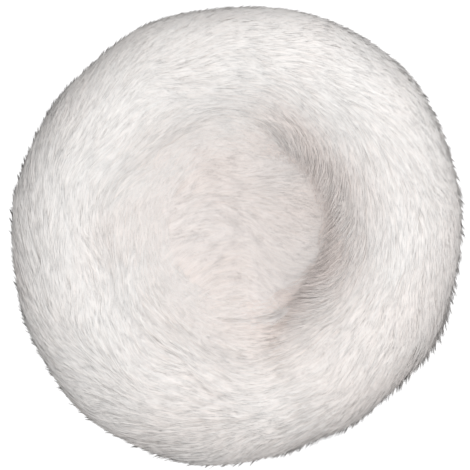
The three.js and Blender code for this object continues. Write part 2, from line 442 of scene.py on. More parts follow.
turnLine = np.arange(ringShape["turns"]) / ringShape["turns"] * wholeTurn
fineTravel = np.linspace(0, 3, 1201)
sections = ringPoint(turnLine[::30, None], fineTravel[None, :])
stepLength = np.linalg.norm(np.diff(sections, axis=1), axis=-1).mean(axis=0)
pathLength = np.concatenate([[0], np.cumsum(stepLength)])
ringPath = pathLength[-1]
evenTravel = np.interp(np.linspace(0, ringPath, ringShape["steps"]), pathLength, fineTravel)
ringFace = ringPoint(turnLine[:, None], evenTravel[None, :])


def gridFrame(grid):
    # normal of the face, and metres to one whole turn
    roundwise = (np.roll(grid, -1, axis=0) - np.roll(grid, 1, axis=0)) * grid.shape[0] / 2
    onwards = np.gradient(grid, axis=1)
    return unit(np.cross(onwards, roundwise)), np.linalg.norm(roundwise, axis=-1)


def shareOfTravel(travel):
    # share of the path over the section at which a travel is reached
    return float(np.interp(travel, evenTravel, np.linspace(0, 1, ringShape["steps"])))


ringNormal, ringTurnLength = gridFrame(ringFace)
lumps = ringShape["lump"] * smoothNoise(ringFace, ringShape["lumpSize"], seed=5)
ringFace = ringFace + ringNormal * lumps[..., None]
crestShare = shareOfTravel(1.5)
print("ring: path over the section", round(ringPath, 4), "m, crest at share", round(crestShare, 3))


def ringSkin(material):
    # the ring's face moved into the pile, closed along the base by a level strip from hem to seam
    every = ringShape["skinEvery"]
    inset = ringShape["skinInset"]
    face = ringFace[::every, ::every] - ringNormal[::every, ::every] * inset
    face[..., 2] = np.maximum(face[..., 2], bed["clothLevel"])
    # where the pile lies across the well's joint, the skin follows it from below
    travel = evenTravel[::every]
    covered = (travel > 0.6) & (travel < 1.5)
    below = pileFloor(face[..., 0], face[..., 1]) - inset
    face[..., 2] = np.where(covered, np.maximum(face[..., 2], below), face[..., 2])
    faces = loopedFaces(face.shape[0], face.shape[1], True)
    piece = newPiece("ringPlushBacking", face.reshape(-1, 3), faces, material)
    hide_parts("ring_cover", "ring_filling")
    return piece


cushionShape = {
    "turns": 168,
    "skinInset": 0.002,
    "footLift": 0.001,
    "skinFill": 0.7,
}


def cushionSkin(material):
    # rings of points from the centre to the wall, down the side to the base cloth, and back under
    inset = cushionShape["skinInset"]
    heading = np.arange(cushionShape["turns"]) / cushionShape["turns"] * wholeTurn
    edge, _ = cushionEdgeAt(heading)
    scale = np.concatenate([np.linspace(0.004, 0.9, 24), np.linspace(0.92, 1, 8)])
    reach = (edge[:, None] - inset) * scale[None, :]
    x = bed["wellX"] + reach * np.cos(heading)[:, None]
    y = bed["wellY"] + reach * np.sin(heading)[:, None]
    crown = np.stack([x, y, pileFloor(x, y) - inset], axis=-1)
    low = bed["clothLevel"] + cushionShape["footLift"]
    down = np.linspace(0.05, 1, 6)
    side = np.repeat(crown[:, -1:, :], len(down), axis=1)
    side[..., 2] = side[..., 2] + (low - side[..., 2]) * down
    centre = np.array([bed["wellX"], bed["wellY"], low])
    under = centre + (side[:, -1:, :] - centre) * np.array([0.6, 0.2, 0.004])[None, :, None]
    grid = np.concatenate([crown, side, under], axis=1)
    poles = grid[:, [0, -1]].mean(axis=0)
    corners = np.concatenate([grid.reshape(-1, 3), poles])
    faces = cappedFaces(grid.shape[0], grid.shape[1])
    piece = newPiece("cushionPlushBacking", corners, faces, material)
    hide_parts("cushion_cover", "cushion_filling")
    return piece


# Pile: every strand is a thin spindle with three sides, bent over the cloth at its middle, and
# strands lean together into locks. Places on the ring are a pair (turn share, path share).

strandShape = {
    "along": (0.0, 0.55, 1.0),
    "lift": (-0.0011, 0.0, 0.0002),  # of the root, the middle and the tip off the face
    "width": 0.00086,
    "widths": (0.75, 1.25),
    "roll": 25,
    "ridge": 0.3,
    "splay": 0.2,
    "softness": 0.92,
    "gatherPower": 1.5,
    "unevenLift": 0.00012,
    "unevenShade": 0.1,
    "classes": 16,
}

# Streaks run with the pile: small cells hold random numbers, and a strand's streak is their mean
# over the places on its way, from and to the given shares of a strand's length
streakShape = {
    "cell": 0.002,
    "way": (-0.1, 1.5, 15),
    "loft": 0.00045,
    "loftLimits": (-1.5, 2),
    # how much darker a low streak is painted: painted shade between the high streaks
    "shade": 0.24,
}
lockShadeShare = 0.2

strandAlong = np.array(strandShape["along"])
strandLift = np.array(strandShape["lift"])
cornerAlong = strandAlong[[0, 1, 1, 1, 2]]
gatherAlong = strandAlong ** strandShape["gatherPower"]


def streakValue(points, draw):
    # strands that follow one another pass the same cells and get nearly the same value;
    # mean 0, deviation 1
    table = draw.uniform(0, 1, 65536)
    index = np.floor(points / streakShape["cell"]).astype(np.int64) + 4096
    mixers = (7349, 31337, 104729)
    key = sum(index[..., axis] * mixer for axis, mixer in enumerate(mixers)) % len(table)
    mean = table[key].mean(axis=-1)
    return (mean - mean.mean()) / mean.std()


def strandLoft(own, relief, streak):
    # height off the face along a strand: its own, and its streak's
    raised = streakShape["loft"] * relief * np.clip(streak, *streakShape["loftLimits"])
    return strandAlong * (own + raised)[:, None]


def strandShade(level, lockShade, relief, streak, draw):
    # a high shade is dark: low streaks are painted darker, as painted shade between the high ones;
    # the lock's and the strand's own shares are random tone
    own = strandShape["unevenShade"] * draw.normal(size=len(streak))
    return level + lockShadeShare * lockShade - relief * (streakShape["shade"] * streak + own)


def turnedUp(normal, share):
    return unit(normal * (1 - share) + skyward * share)


def strandCorners(spine, normal, widths, draw):
    # the root, three corners round the middle, and the tip
    half = (strandShape["width"] * draw.uniform(*widths, len(spine)))[:, None] / 2
    roll = (np.radians(strandShape["roll"]) * draw.normal(size=len(spine)))[:, None]
    root, middle, tip = spine[:, 0], spine[:, 1], spine[:, 2]
    side = unit(np.cross(unit(tip - root), normal[:, 1]))
    above = np.cross(side, unit(tip - root))
    turned = side * np.cos(roll) + above * np.sin(roll)
    raised = above * np.cos(roll) - side * np.sin(roll)
    ridge = middle + raised * half * 2 * strandShape["ridge"]
    corners = np.stack([root, middle - turned * half, middle + turned * half, ridge, tip], axis=1)
    # shading normal: mostly the pile's own face, partly each corner's way out of its strand
    splay = raised * strandShape["splay"]
    out = np.stack([above, splay - turned, splay + turned, raised, above], axis=1)
    soft = strandShape["softness"]
    return corners, unit(normal[:, [0, 1, 1, 1, 2]] * soft + unit(out) * (1 - soft))


def strandFaces():
    # three triangles from the root to the middle and three on to the tip
    pairs = ((1, 2), (2, 3), (3, 1))
    return np.array([face for a, b in pairs for face in ((a, b, 0), (a, 4, b))])


def pilePiece(name, corners, shading, shade, warmth, material):
    # one mesh of many strands, with the values that colour them; shade and warmth go in steps,
    # so that strands of one step share one cell of the UV map OFBake
    count, cornersEach = corners.shape[:2]
    faces = repeatedFaces(strandFaces(), cornersEach, count)
    piece = newPiece(name, corners.reshape(-1, 3), faces, material)
    steps = strandShape["classes"] - 1
    shadeStep = np.rint(np.clip(shade, 0, 1) * steps)
    warmStep = np.rint(np.clip(warmth, 0, 1) * steps)
    pointValue(piece, "along", np.broadcast_to(cornerAlong, (count, cornersEach)))
    pointValue(piece, "shade", np.repeat(shadeStep / steps, cornersEach))
    pointValue(piece, "warmth", np.repeat(warmStep / steps, cornersEach))
    # the strand's outline in its cell, a little inside the cell's edges
    across = np.array([0.5, 0.1, 0.9, 0.5, 0.5])
    upwards = cornerAlong + np.array([0.0, 0.0, 0.0, 0.04, 0.0])
    u = (shadeStep[:, None] + 0.1 + 0.8 * across) / strandShape["classes"]
    v = (warmStep[:, None] + 0.08 + 0.8 * upwards) / strandShape["classes"]
    spots = np.stack([u, v], axis=-1).reshape(-1, 2)
    layer = piece.data.uv_layers.new(name="OFBake")
    layer.data.foreach_set("uv", spots[faces.ravel()].astype(np.float32).ravel())
    piece.data.normals_split_custom_set_from_vertices(shading.reshape(-1, 3).astype(np.float32))
    return piece


# Lengths in metres, leans and headings in degrees, reaches along the path as shares of it
ringPile = {
    "spacing": 0.00128,
    "lowest": 0.5,
    "last": 0.985,
    "lock": 0.0075,
    "length": 0.037,
    "lengthSpread": 0.22,
    "lengthLimits": (0.018, 0.046),
    "lowestShorter": 0.25,
    "lowestReach": 0.12,
    "outerLean": 47,
    "hemLean": 68,
    "innerLean": 30,
    "outerLeanPower": 0.9,
    "innerTravel": 0.8,
    "restLean": 0.8,
    "upperLean": 0.9,
    "upperHeading": 55,
    "wander": 13,
    "fineWander": 7.8,
    "lockTurn": 3,
    "strandTurn": 1.5,
    "gather": 0.30,
    "lockLift": 0.0001,
    "shade": 0.22,
    "lowestPoint": 0.0009,
    "sectors": 9,
    "seed": 11,
}

# Where the ring's pile is unlike the rest of it: shorter and smoother down the outside at the upper
# right, tufted down the outside at the lower left, lively by the open joint at the right, with pits
# along the closing seam, and with raised streaks whose tips stand off the outline. The lower left,
# the pits and the joint's foot are also painted darker: painted shade
ringPlaces = {
    "smoothHeading": 60,
    "smoothReach": 0.15,
    "smoothShorter": 0.3,
    "smoothCalms": 0.85,
    "tuftedHeading": 235,
    "tuftedReach": 0.3,
    "tuftedLift": 2.2,
    "tuftedRelief": 1.65,
    "tuftedPaintedShade": 0.5,
    "rightHeading": 10,
    "rightReach": 0.1,
    "rightRelief": 1.2,
    "footPaintedShade": 0.4,
    "footTravel": 1.2,
    "footReach": 0.05,
    "seamWidth": 0.005,
    "seamReach": 0.05,
    "pitSize": 0.014,
    "pitMore": 0.3,
    "pitMost": 1.5,
    "pitDepth": 0.0016,
    "pitPaintedShade": 0.9,
    "standRise": 0.004,
    "standTravel": 2.05,
    "standReach": 0.06,
    "standSizes": (0.3, 1.3),
    "standMost": 1.3,
    "smoothStands": 0.5,
    "strayShare": 0.004,
    "strayRise": 0.002,
}


def evenRoots(spacing, low, high, draw):
    # rows a spacing apart over the ring, each with as many places as fit round it, all jittered
    rows = int((high - low) * ringPath / spacing)
    share = low + (np.arange(rows) + 0.5) / rows * (high - low)
    column = (share * (ringShape["steps"] - 1)).astype(int)
    counts = np.rint(ringTurnLength.mean(axis=0)[column] / spacing).astype(int)
    row = np.repeat(np.arange(rows), counts)
    first = np.cumsum(counts) - counts
    place = np.arange(counts.sum()) - first[row]
    turn = (place + draw.uniform(-0.5, 0.5, len(row))) / counts[row]
    path = share[row] + draw.uniform(-0.5, 0.5, len(row)) / rows * (high - low)
    return {"turn": turn % 1, "path": path, "counts": counts, "first": first}


def turnMetres(turn, path):
    return onGrid(ringTurnLength[..., None], turn, path)[:, 0]


def nearestLock(turn, path, locks):
    # nearest lock centre among three places in each of three rows round the strand
    rows = len(locks["counts"])
    best = np.full(len(turn), np.inf)
    chosen = np.zeros(len(turn), dtype=int)
    metres = turnMetres(turn, path)
    for rowStep in (-1, 0, 1):
        row = np.clip((path * rows).astype(int) + rowStep, 0, rows - 1)
        count = locks["counts"][row]
        for placeStep in (-1, 0, 1):
            place = (np.rint(turn * count).astype(int) + placeStep) % count
            index = locks["first"][row] + place
            aside = (locks["turn"][index] - turn + 0.5) % 1 - 0.5
            gap = np.hypot(aside * metres, (locks["path"][index] - path) * ringPath)
            best, chosen = nearer(best, chosen, gap, index)
    return chosen


def ringHeading(turn, path, places):
    # lean of the pile from the clockwise tangent towards the way down, in radians with its sign:
    # outwards past the crest, inwards before it, and wandering a little
    bulge = shareOfTravel(2.0)
    outer = rampUp(path, crestShare, bulge - crestShare)
    hem = rampUp(path, bulge, 1 - bulge)
    inner = rampDown(path, crestShare, crestShare - shareOfTravel(ringPile["innerTravel"]))
    upper = facing(turn * wholeTurn, ringPile["upperHeading"]) ** 4
    lean = ringPile["outerLean"] * outer ** ringPile["outerLeanPower"]
    lean = lean + (ringPile["hemLean"] - ringPile["outerLean"]) * hem
    lean = lean - ringPile["innerLean"] * inner * (ringPile["restLean"] + ringPile["upperLean"] * upper)
    lean = lean + ringPile["wander"] * smoothNoise(places, size=0.09, seed=21)
    return np.radians(lean + ringPile["fineWander"] * smoothNoise(places, size=0.035, seed=22))


def strandWay(turn, path, lean, length, along=strandAlong):
    # the strand's way over the ring: clockwise times cos, down the path times sin
    metres = turnMetres(turn, path)
    aside = -np.cos(lean)[:, None] * length[:, None] * along / metres[:, None]
    onward = np.sin(lean)[:, None] * length[:, None] * along / ringPath
    return turn[:, None] + aside, path[:, None] + onward


ringWarmth = {
    "least": 0.04,
    "lowerRight": 0.26,
    "slope": 0.34,
    "rightSlope": 0.3,
    "patch": 0.45,
    # the warmth at the open joint's foot is painted shade
    "foot": 0.5,
    "uneven": 0.1,
}


def warmPlace(turn, path):
    # the pile is warmer down the inner slope and over the lower right quarter of the ring, in a
    # patch high on the inner slope at the upper right, and at the foot of the open joint, where the
    # warmer, darker tint is painted shade in the crease
    angle = turn * wholeTurn
    warm = ringWarmth
    inner = rampDown(path, crestShare, crestShare - shareOfTravel(1.0))
    rightward = facing(angle, ringPlaces["rightHeading"])
    patch = bell(angle - math.radians(62), 0.42) * bell(path - shareOfTravel(1.3), 0.05)
    # at the joint's foot the warm, darker tint is painted shade
    foot = rightward * rampDown(path, shareOfTravel(1.25), 0.06)
    slope = (warm["slope"] + warm["rightSlope"] * rightward) * inner
    low = warm["least"] + warm["lowerRight"] * facing(angle, -50)
    return low + slope + warm["patch"] * patch + warm["foot"] * foot


ringInWell = {
    "hang": 0.02,
    "hangTravel": 1.1,
    "hangReach": 0.1,
    "hangPower": 1.5,
    "hangSink": 0.3,
    "scale": 1.45,
    "drift": 0.45,
    "driftSunk": 0.03,
    "turnedSunk": 0.004,
    "upturned": 0.75,
    "upturnedReach": 0.08,
}


def hangOver(spine, tipPath, draw):
    # at the open joint the strands by the bulge hang out over the cushion, some further than others
    x, y, z = spine[..., 0], spine[..., 1], spine[..., 2]
    byBulge = bell(tipPath - shareOfTravel(ringInWell["hangTravel"]), ringInWell["hangReach"])
    isOpen = byBulge * (1 - closedShare(x[:, 2], y[:, 2]))
    far = ringInWell["hang"] * isOpen * draw.uniform(0, 1, len(spine)) ** ringInWell["hangPower"]
    hang = far[:, None] * gatherAlong
    x, y = drawnIn(x, y, 1 - hang / np.hypot(*fromWell(x, y)))
    return np.stack([x, y, z - ringInWell["hangSink"] * hang], axis=-1)


def layOnFloor(spine, normal, path, lift, draw):
    # what would sink into the well's floor goes on over it, towards the well's middle
    x, y, z = spine[..., 0], spine[..., 1], spine[..., 2]
    inWell = (cushionScale(x, y) < ringInWell["scale"]) & (path < crestShare)
    sunk = np.where(inWell, np.maximum(pileFloor(x, y) - z, 0), 0)
    onwards = ringInWell["drift"] * draw.uniform(0, 2, len(spine))[:, None]
    distance = np.maximum(np.hypot(*fromWell(x, y)), 0.01)
    x, y = drawnIn(x, y, 1 - onwards * np.minimum(sunk, ringInWell["driftSunk"]) / distance)
    laid = pileFloor(x, y) + lift
    spine = np.stack([x, y, np.where(sunk > 0, np.maximum(laid, z), z)], axis=-1)
    onFloor = rampUp(sunk, 0, ringInWell["turnedSunk"])[..., None]
    return spine, unit(normal * (1 - onFloor) + floorNormal(x, y) * onFloor)


def makeRingPile(material):
    draw = np.random.default_rng(ringPile["seed"])
    low = shareOfTravel(ringPile["lowest"])
    strands = evenRoots(ringPile["spacing"], low, ringPile["last"], draw)
    turn = strands["turn"]
    path = strands["path"]
    count = len(turn)
    roots = onGrid(ringFace, turn, path)
    locks = evenRoots(ringPile["lock"], 0.0, 1.0, draw)
    lockPlaces = onGrid(ringFace, locks["turn"], locks["path"])
    chosen = nearestLock(turn, path, locks)

    angle = turn * wholeTurn
    places = ringPlaces
    rightward = facing(angle, places["rightHeading"])
    smooth = facing(angle, places["smoothHeading"]) ** 0.5 * rampUp(path, crestShare, places["smoothReach"])
    tufted = np.clip(0.5 + np.cos(angle - math.radians(places["tuftedHeading"])), 0, 1)
    tufted = tufted * rampUp(path, crestShare, places["tuftedReach"])
    byJoint = rightward * rampDown(path, crestShare, places["rightReach"])
    relief = 1 + places["tuftedRelief"] * tufted + places["rightRelief"] * byJoint
    relief = relief * (1 - places["smoothCalms"] * smooth)
    pit = bell(closingDistance(angle), places["seamWidth"]) * rampUp(path, crestShare, places["seamReach"])
    pitNoise = smoothNoise(roots, places["pitSize"], seed=61)
    pit = pit * np.clip(pitNoise + places["pitMore"], 0, places["pitMost"])

    # where each strand heads, how long it is, and how it joins its lock
    lockTurned = np.radians(ringPile["lockTurn"]) * draw.normal(size=len(lockPlaces))
    lockLean = ringHeading(locks["turn"], locks["path"], lockPlaces) + lockTurned
    lockLift = draw.normal(size=len(lockLean))
    lockShade = draw.uniform(0, 1, len(lockLean))
    flow = ringHeading(turn, path, roots)
    lean = flow + lockTurned[chosen] + np.radians(ringPile["strandTurn"]) * draw.normal(size=count)
    length = ringPile["length"] * (1 + ringPile["lengthSpread"] * draw.normal(size=count))
    length = np.clip(length, *ringPile["lengthLimits"])
    byLowest = 1 - rampUp(path, low, ringPile["lowestReach"])
    length = length * (1 - ringPile["lowestShorter"] * byLowest) * (1 - places["smoothShorter"] * smooth)
    ownTurn, ownPath = strandWay(turn, path, lean, length)
    lockTurn, lockPath = strandWay(locks["turn"][chosen], locks["path"][chosen], lockLean[chosen], length)
    whole = np.full(count, ringPile["length"])
    wayTurn, wayPath = strandWay(turn, path, flow, whole, np.linspace(*streakShape["way"]))
    streak = streakValue(onGrid(ringFace, wayTurn, wayPath), draw)
    pull = ringPile["gather"] * gatherAlong
    apart = (lockTurn - ownTurn + 0.5) % 1 - 0.5
    ownTurn = ownTurn + apart * pull
    ownPath = ownPath + (lockPath - ownPath) * pull
    face = onGrid(ringFace, ownTurn, ownPath)
    normal = unit(onGrid(ringNormal, ownTurn, ownPath))

    # how it stands off the ring's face
    own = ringPile["lockLift"] * (1 + places["tuftedLift"] * tufted) * lockLift[chosen]
    own = own + strandShape["unevenLift"] * draw.normal(size=count) - places["pitDepth"] * pit
    loft = strandLoft(own, relief, streak)
    byOutline = bell(ownPath[:, 2] - shareOfTravel(places["standTravel"]), places["standReach"])
    byOutline = byOutline * (1 - places["smoothStands"] * smooth)
    stands = np.clip(streak - 0.5, 0, places["standMost"]) * byOutline
    stands = stands * draw.uniform(*places["standSizes"], count)
    stray = draw.uniform(size=count) < places["strayShare"]
    free = places["standRise"] * stands + places["strayRise"] * stray
    spine = face + normal * (strandLift + loft + free[:, None] * strandAlong ** 3)[..., None]
    spine[..., 2] = np.maximum(spine[..., 2], ringPile["lowestPoint"])
    spine = hangOver(spine, ownPath[:, 2], draw)
    spine, normal = layOnFloor(spine, normal, ownPath, strandLift + loft, draw)
    # down the inner slope the tips take light from above, so the pile's face turns up there
    slope = rampDown(ownPath, crestShare, ringInWell["upturnedReach"])
    normal = turnedUp(normal, ringInWell["upturned"] * slope[..., None])
    corners, shading = strandCorners(spine, normal, strandShape["widths"], draw)

    # painted shade: the lower left's outer slope, the seam's pits and the open joint's foot are painted
    # darker where shade falls
    foot = rightward * rampDown(path, shareOfTravel(places["footTravel"]), places["footReach"])
    paintedShade = places["tuftedPaintedShade"] * tufted + places["pitPaintedShade"] * pit + places["footPaintedShade"] * foot
    shade = strandShade(ringPile["shade"] + paintedShade, lockShade[chosen], np.minimum(relief, 2), streak, draw)
    uneven = draw.normal(size=count) + smoothNoise(roots, size=0.12, seed=31)
    warmth = warmPlace(turn, path) + ringWarmth["uneven"] * uneven
    parts = zip((corners, shading, turn, shade, warmth), outlineFringe(draw))
    corners, shading, turn, shade, warmth = (np.concatenate(pair) for pair in parts)
    sector = (turn * ringPile["sectors"]).astype(int)
    for index in range(ringPile["sectors"]):
        mine = sector == index
        pilePiece(f"ringPile{index + 1}", corners[mine], shading[mine], shade[mine], warmth[mine],
                  material)
    print("ring pile:", count, "strands in", len(lockLean), "locks,", len(turn) - count, "of fringe")


fringe = {
    "tufts": 1500,
    "strands": 5,
    "levels": (1.9, 2.12),
    "rise": 0.0074,
    "sideways": 0.005,
    "back": 0.008,
    "depth": 0.001,
    "tuftWidth": 0.0008,
    "sizes": (0.35, 1.0),
    "lowHeading": 70,
    "lowShare": 0.55,
    "highHeading": -35,
    "highShare": 0.25,
    "tips": (0.8, 1.1),
    "widths": (0.7, 1.1),
    "sag": 0.0006,
    "shades": (0.4, 1.0),
    "warmth": 0.1,
}


def outlineFringe(draw):
    # short tufts that stand off the bulge all round, a few strands to each with one shared tip;
    # they point outwards and clockwise, lower at the upper right and higher at the lower right
    tufts = fringe["tufts"]
    turn = np.repeat(draw.uniform(0, 1, tufts), fringe["strands"])
    lowest, highest = (shareOfTravel(level) for level in fringe["levels"])
    path = np.repeat(draw.uniform(lowest, highest, tufts), fringe["strands"])
    size = np.repeat(draw.uniform(*fringe["sizes"], tufts), fringe["strands"])
    count = len(turn)
    angle = turn * wholeTurn
    size = size * (1 - fringe["lowShare"] * facing(angle, fringe["lowHeading"]))
    size = size * (1 + fringe["highShare"] * facing(angle, fringe["highHeading"]))
    metres = turnMetres(turn, path)
    tipTurn = turn - fringe["sideways"] * size / metres
    rootTurn = turn + (fringe["back"] + fringe["tuftWidth"] * draw.normal(size=count)) / metres
    rootPath = path + fringe["tuftWidth"] * draw.normal(size=count) / ringPath
    rootNormal = unit(onGrid(ringNormal, rootTurn, rootPath))
    tipNormal = unit(onGrid(ringNormal, tipTurn, path))
    rise = fringe["rise"] * size * draw.uniform(*fringe["tips"], count)
    root = onGrid(ringFace, rootTurn, rootPath) - rootNormal * fringe["depth"]
    tip = onGrid(ringFace, tipTurn, path) + tipNormal * rise[:, None]
    bend = strandAlong[1]
    middle = root * (1 - bend) + tip * bend - tipNormal * (fringe["sag"] * size)[:, None]
    spine = np.stack([root, middle, tip], axis=1)
    normal = np.stack([rootNormal, tipNormal, tipNormal], axis=1)
    corners, shading = strandCorners(spine, normal, fringe["widths"], draw)
    shade = draw.uniform(*fringe["shades"], count)
    return corners, shading, turn, shade, np.full(count, fringe["warmth"])


cushionPile = {
    "count": 33000,
    "margin": 0.004,
    "wall": 0.985,
    "lock": 0.007,
    "length": 0.036,
    "lengthSpread": 0.22,
    "lengthLimits": (0.6, 1.5),
    "lockTurn": 4,
    "strandTurn": 1.5,
    "gather": 0.30,
    "climb": 0.25,
    "ragged": 0.05,
    "lockLift": 0.0001,
    "relief": 0.9,
    "rise": 0.35,
    "leftRise": 0.3,
    "upturned": 0.6,
    "shade": 0.3,
    "warmth": 0.4,
    "unevenWarmth": 0.2,
    "warmPatch": 0.3,
    "seed": 12,
}


# The cushion's pile heads to the right, and turns off by bells: degrees, then the bell's middle and
# width across and up, in shares of the cushion's half. It turns up along the left edge and by the
# whorl at the lower left, and down through the middle
cushionHalf = 0.102
cushionTurns = (
    (35, (-0.95, 0.33), (0.0, math.inf)),
    (-45, (0.05, 0.28), (-0.17, 0.42)),
    (45, (-0.85, 0.30), (-0.72, 0.25)),
    (15, (0.60, 0.30), (-0.80, 0.25)),
)


def levelPlaces(x, y):
    return np.stack([x, y, 0 * x], axis=-1)


def cushionHeading(x, y):
    u, v = (out / cushionHalf for out in fromWell(x, y))
    turned = 0
    for degrees, (middleX, widthX), (middleY, widthY) in cushionTurns:
        turned = turned + degrees * bell(u - middleX, widthX) * bell(v - middleY, widthY)
    places = levelPlaces(x, y)
    wander = 14 * smoothNoise(places, size=0.07, seed=41) + 8 * smoothNoise(places, size=0.03, seed=42)
    return np.radians(turned + wander)


def levelWay(x, y, heading, length, along=strandAlong):
    # the strand's way over the cushion, seen from above
    wayX = x[:, None] + np.cos(heading)[:, None] * length[:, None] * along
    wayY = y[:, None] + np.sin(heading)[:, None] * length[:, None] * along
    return wayX, wayY


def cushionLocks(x, y, reach, draw):
    # lock centres on a jittered square grid, and for each strand the nearest of the nine round it
    size = cushionPile["lock"]
    cells = int(2 * reach / size) + 3
    jitter = draw.uniform(0.15, 0.85, (cells, cells, 2))
    originX = bed["wellX"] - reach - size
    originY = bed["wellY"] - reach - size
    lockX = (originX + (np.arange(cells)[None, :] + jitter[..., 0]) * size).ravel()
    lockY = (originY + (np.arange(cells)[:, None] + jitter[..., 1]) * size).ravel()
    column = ((x - originX) / size).astype(int)
    row = ((y - originY) / size).astype(int)
    best = np.full(len(x), np.inf)
    chosen = np.zeros(len(x), dtype=int)
    for rowStep in (-1, 0, 1):
        for columnStep in (-1, 0, 1):
            index = np.clip(row + rowStep, 0, cells - 1) * cells
            index = index + np.clip(column + columnStep, 0, cells - 1)
            gap = np.hypot(lockX[index] - x, lockY[index] - y)
            best, chosen = nearer(best, chosen, gap, index)
    return lockX, lockY, chosen


def makeCushionPile(material):
    draw = np.random.default_rng(cushionPile["seed"])
    reach = bed["nestAcross"] / 2 + cushionPile["margin"]
    spacing = math.sqrt(math.pi * reach ** 2 / cushionPile["count"])
    line = np.arange(-reach, reach, spacing)
    gridX, gridY = (g.ravel() for g in np.meshgrid(line, line))
    x = bed["wellX"] + gridX + draw.uniform(-0.5, 0.5, len(gridX)) * spacing
    y = bed["wellY"] + gridY + draw.uniform(-0.5, 0.5, len(gridX)) * spacing
    kept = cushionScale(x, y) < cushionPile["wall"]
    x = x[kept]
    y = y[kept]
    count = len(x)
    lockX, lockY, chosen = cushionLocks(x, y, reach, draw)

    # where each strand heads, how long it is, and how it joins its lock
    lockTurned = np.radians(cushionPile["lockTurn"]) * draw.normal(size=len(lockX))
    lockHeading = cushionHeading(lockX, lockY) + lockTurned
    flow = cushionHeading(x, y)
    heading = flow + lockTurned[chosen] + np.radians(cushionPile["strandTurn"]) * draw.normal(size=count)
    whole = np.full(count, cushionPile["length"])
    wayX, wayY = levelWay(x, y, flow, whole, np.linspace(*streakShape["way"]))
    streak = streakValue(levelPlaces(wayX, wayY), draw)
    length = 1 + cushionPile["lengthSpread"] * draw.normal(size=count)
    length = cushionPile["length"] * np.clip(length, *cushionPile["lengthLimits"])
    ownX, ownY = levelWay(x, y, heading, length)
    toX, toY = levelWay(lockX[chosen], lockY[chosen], lockHeading[chosen], length)
    pull = cushionPile["gather"] * gatherAlong
    ownX = ownX + (toX - ownX) * pull
    ownY = ownY + (toY - ownY) * pull

    # at the open joint and at the bottom the strands stop at the wall, and elsewhere they go on up
    # the bowl, high streaks further than low ones
    outX, outY = fromWell(ownX, ownY)
    bottom = facing(np.arctan2(outY, outX), -80)
    ragged = cushionPile["ragged"] * np.clip(streak, -2, 2)[:, None]
    climb = closedShare(ownX, ownY) * (cushionPile["climb"] * (1 - bottom) + ragged)
    limit = cushionPile["wall"] + climb
    scale = cushionScale(ownX, ownY)
    over = np.maximum(scale - limit, 0) * reach
    ownX, ownY = drawnIn(ownX, ownY, np.minimum(limit / np.maximum(scale, 1e-6), 1))
    leftward = rampDown(ownX - bed["wellX"], 0.075, 0.15)
    own = cushionPile["lockLift"] * draw.normal(size=len(lockX))[chosen]
    own = own + strandShape["unevenLift"] * draw.normal(size=count)
    loft = strandLoft(own, cushionPile["relief"], streak)
    rise = (cushionPile["rise"] + cushionPile["leftRise"] * leftward) * over
    z = pileFloor(ownX, ownY) + strandLift + loft + rise
    spine = np.stack([ownX, ownY, z], axis=-1)
    normal = turnedUp(floorNormal(ownX, ownY), cushionPile["upturned"])
    corners, shading = strandCorners(spine, normal, strandShape["widths"], draw)

    # low streaks are painted darker, painted shade between the high ones; the lock's and strand's own
    # shares are random tone
    lockShade = draw.uniform(0, 1, len(lockX))[chosen]
    shade = strandShade(cushionPile["shade"], lockShade, 1, streak, draw)
    patches = cushionPile["warmPatch"] * smoothNoise(levelPlaces(x, y), size=0.1, seed=51)
    warmth = cushionPile["warmth"] + cushionPile["unevenWarmth"] * draw.normal(size=count) + patches
    pilePiece("cushionPile", corners, shading, shade, warmth, material)
    print("cushion pile:", count, "strands")


# the darker, warmer roots are partly the plush's own tone and partly painted shade deep in the pile
ringPileLook = {
    "roughness": 0.6,
    "specular": 0.3,
    "root": (0.92, 0.85, 0.80, 1),
    "tip": (0.965, 0.955, 0.945, 1),
    "warm": (1.0, 0.915, 0.885, 1),
    "spread": 0.28,
}
cushionPileLook = {
    "roughness": 0.62,
    "specular": 0.3,
    "root": (0.93, 0.85, 0.80, 1),
    "tip": (0.98, 0.932, 0.915, 1),
    "warm": (1.0, 0.96, 0.94, 1),
    "spread": 0.16,
}

# Woven cloth and thread: colour, threads to a metre, and how much darker the weave's gaps are
ringBackingLook = {"colour": (0.94, 0.92, 0.90, 1), "threads": 900.0, "gapShade": 0.93, "roughness": 0.9}
cushionBackingLook = {"colour": (0.93, 0.88, 0.85, 1), "threads": 900.0, "gapShade": 0.93, "roughness": 0.9}
baseClothLook = {"colour": (0.60, 0.58, 0.55, 1), "threads": 900.0, "gapShade": 0.62, "roughness": 0.75}
threadLook = {"colour": (0.80, 0.78, 0.75, 1), "threads": 3000.0, "gapShade": 0.7, "roughness": 0.6}
clothWear = {"scale": 45, "detail": 3, "dull": (0.93, 0.92, 0.91, 1), "bright": (1.04, 1.04, 1.04, 1)}
rubberLook = {"grain": 900, "dark": (0.42, 0.41, 0.40, 1), "pale": (0.52, 0.51, 0.50, 1)}


